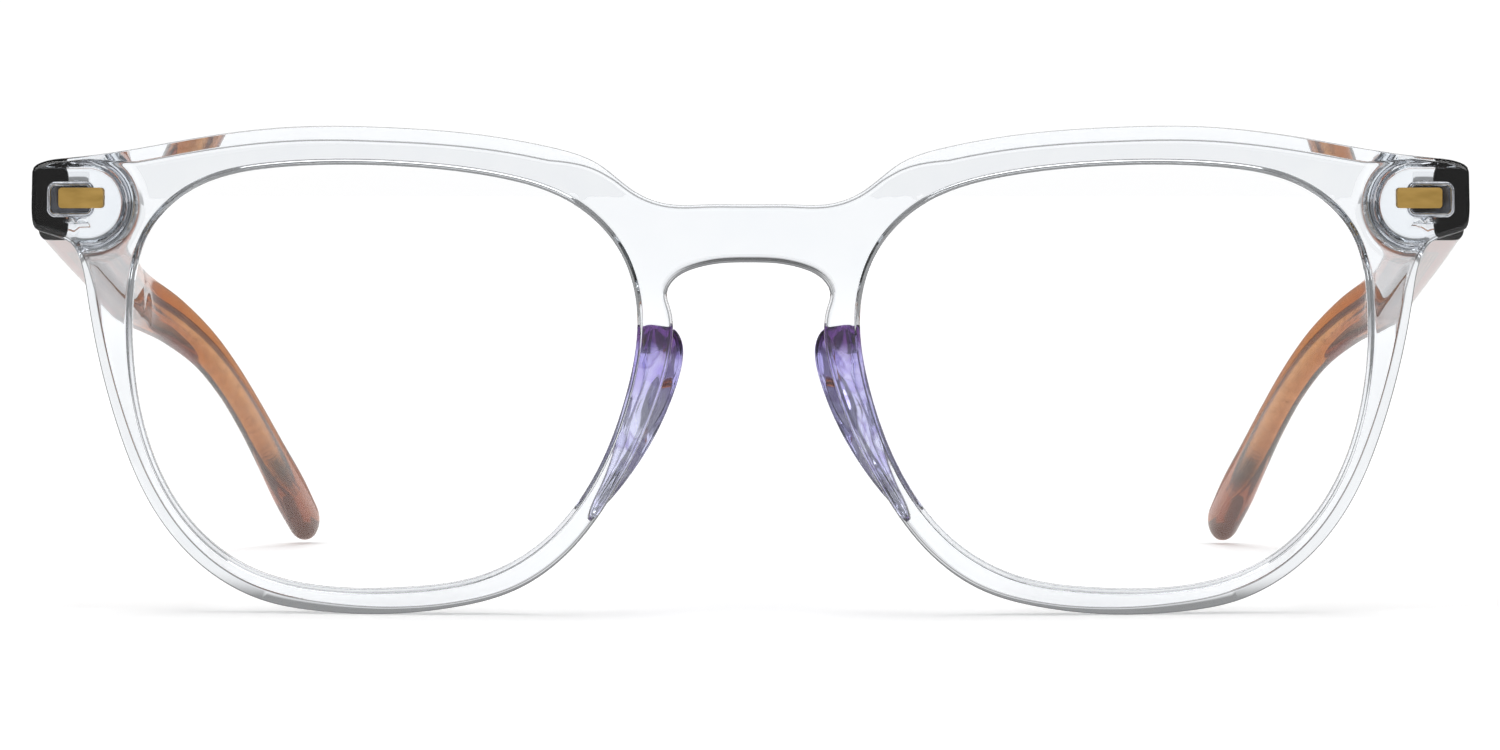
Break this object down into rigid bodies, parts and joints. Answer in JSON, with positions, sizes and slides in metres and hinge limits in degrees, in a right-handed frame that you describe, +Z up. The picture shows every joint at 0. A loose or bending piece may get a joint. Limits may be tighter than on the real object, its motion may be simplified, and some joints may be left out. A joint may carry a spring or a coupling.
{
  "type": "eyeglasses",
  "caption": "Eyeglasses with a clear keyhole-bridge front, clear lenses, tinted nose pads and folding translucent brown temples with core wires.",
  "frame": {"origin": "middle of the open spectacles' footprint, on the surface that the rims and temple tips stand on", "axes": "+X to the wearer's left, +Y from the front back to the temple tips, +Z up; the front faces -Y"},
  "size_m": [0.1406, 0.1455, 0.0473],
  "materials": {
    "clear_acetate": "polished, clear",
    "amber_acetate": "polished, translucent",
    "lens_clear": "polished, coated",
    "lavender_pad": "polished, translucent",
    "gold_metal": "satin",
    "hinge_steel": "polished",
    "screw_steel": "turned",
    "wire_steel": "drawn"
  },
  "bodies": {
    "front": {"front_frame": "clear_acetate", "lens_left": "lens_clear", "lens_right": "lens_clear", "nose_pad_left": "lavender_pad", "nose_pad_right": "lavender_pad", "front_plaque_left": "gold_metal", "front_plaque_right": "gold_metal", "front_hinge_left": "hinge_steel", "front_hinge_right": "hinge_steel", "hinge_screw_left": "screw_steel", "hinge_screw_right": "screw_steel"},
    "temple_left": {"temple_left": "amber_acetate", "temple_hinge_left": "hinge_steel", "core_wire_left": "wire_steel"},
    "temple_right": {"temple_right": "amber_acetate", "temple_hinge_right": "hinge_steel", "core_wire_right": "wire_steel"}
  },
  "joints": [
    {"name": "temple_left_fold", "type": "hinge", "parent": "front", "child": "temple_left", "pos_m": [0.0654, -0.05545, 0.0396], "axis": [0, 0, 1], "range_deg": [0, 86]},
    {"name": "temple_right_fold", "type": "hinge", "parent": "front", "child": "temple_right", "pos_m": [-0.0654, -0.05545, 0.0396], "axis": [0, 0, -1], "range_deg": [0, 79]}
  ]
}
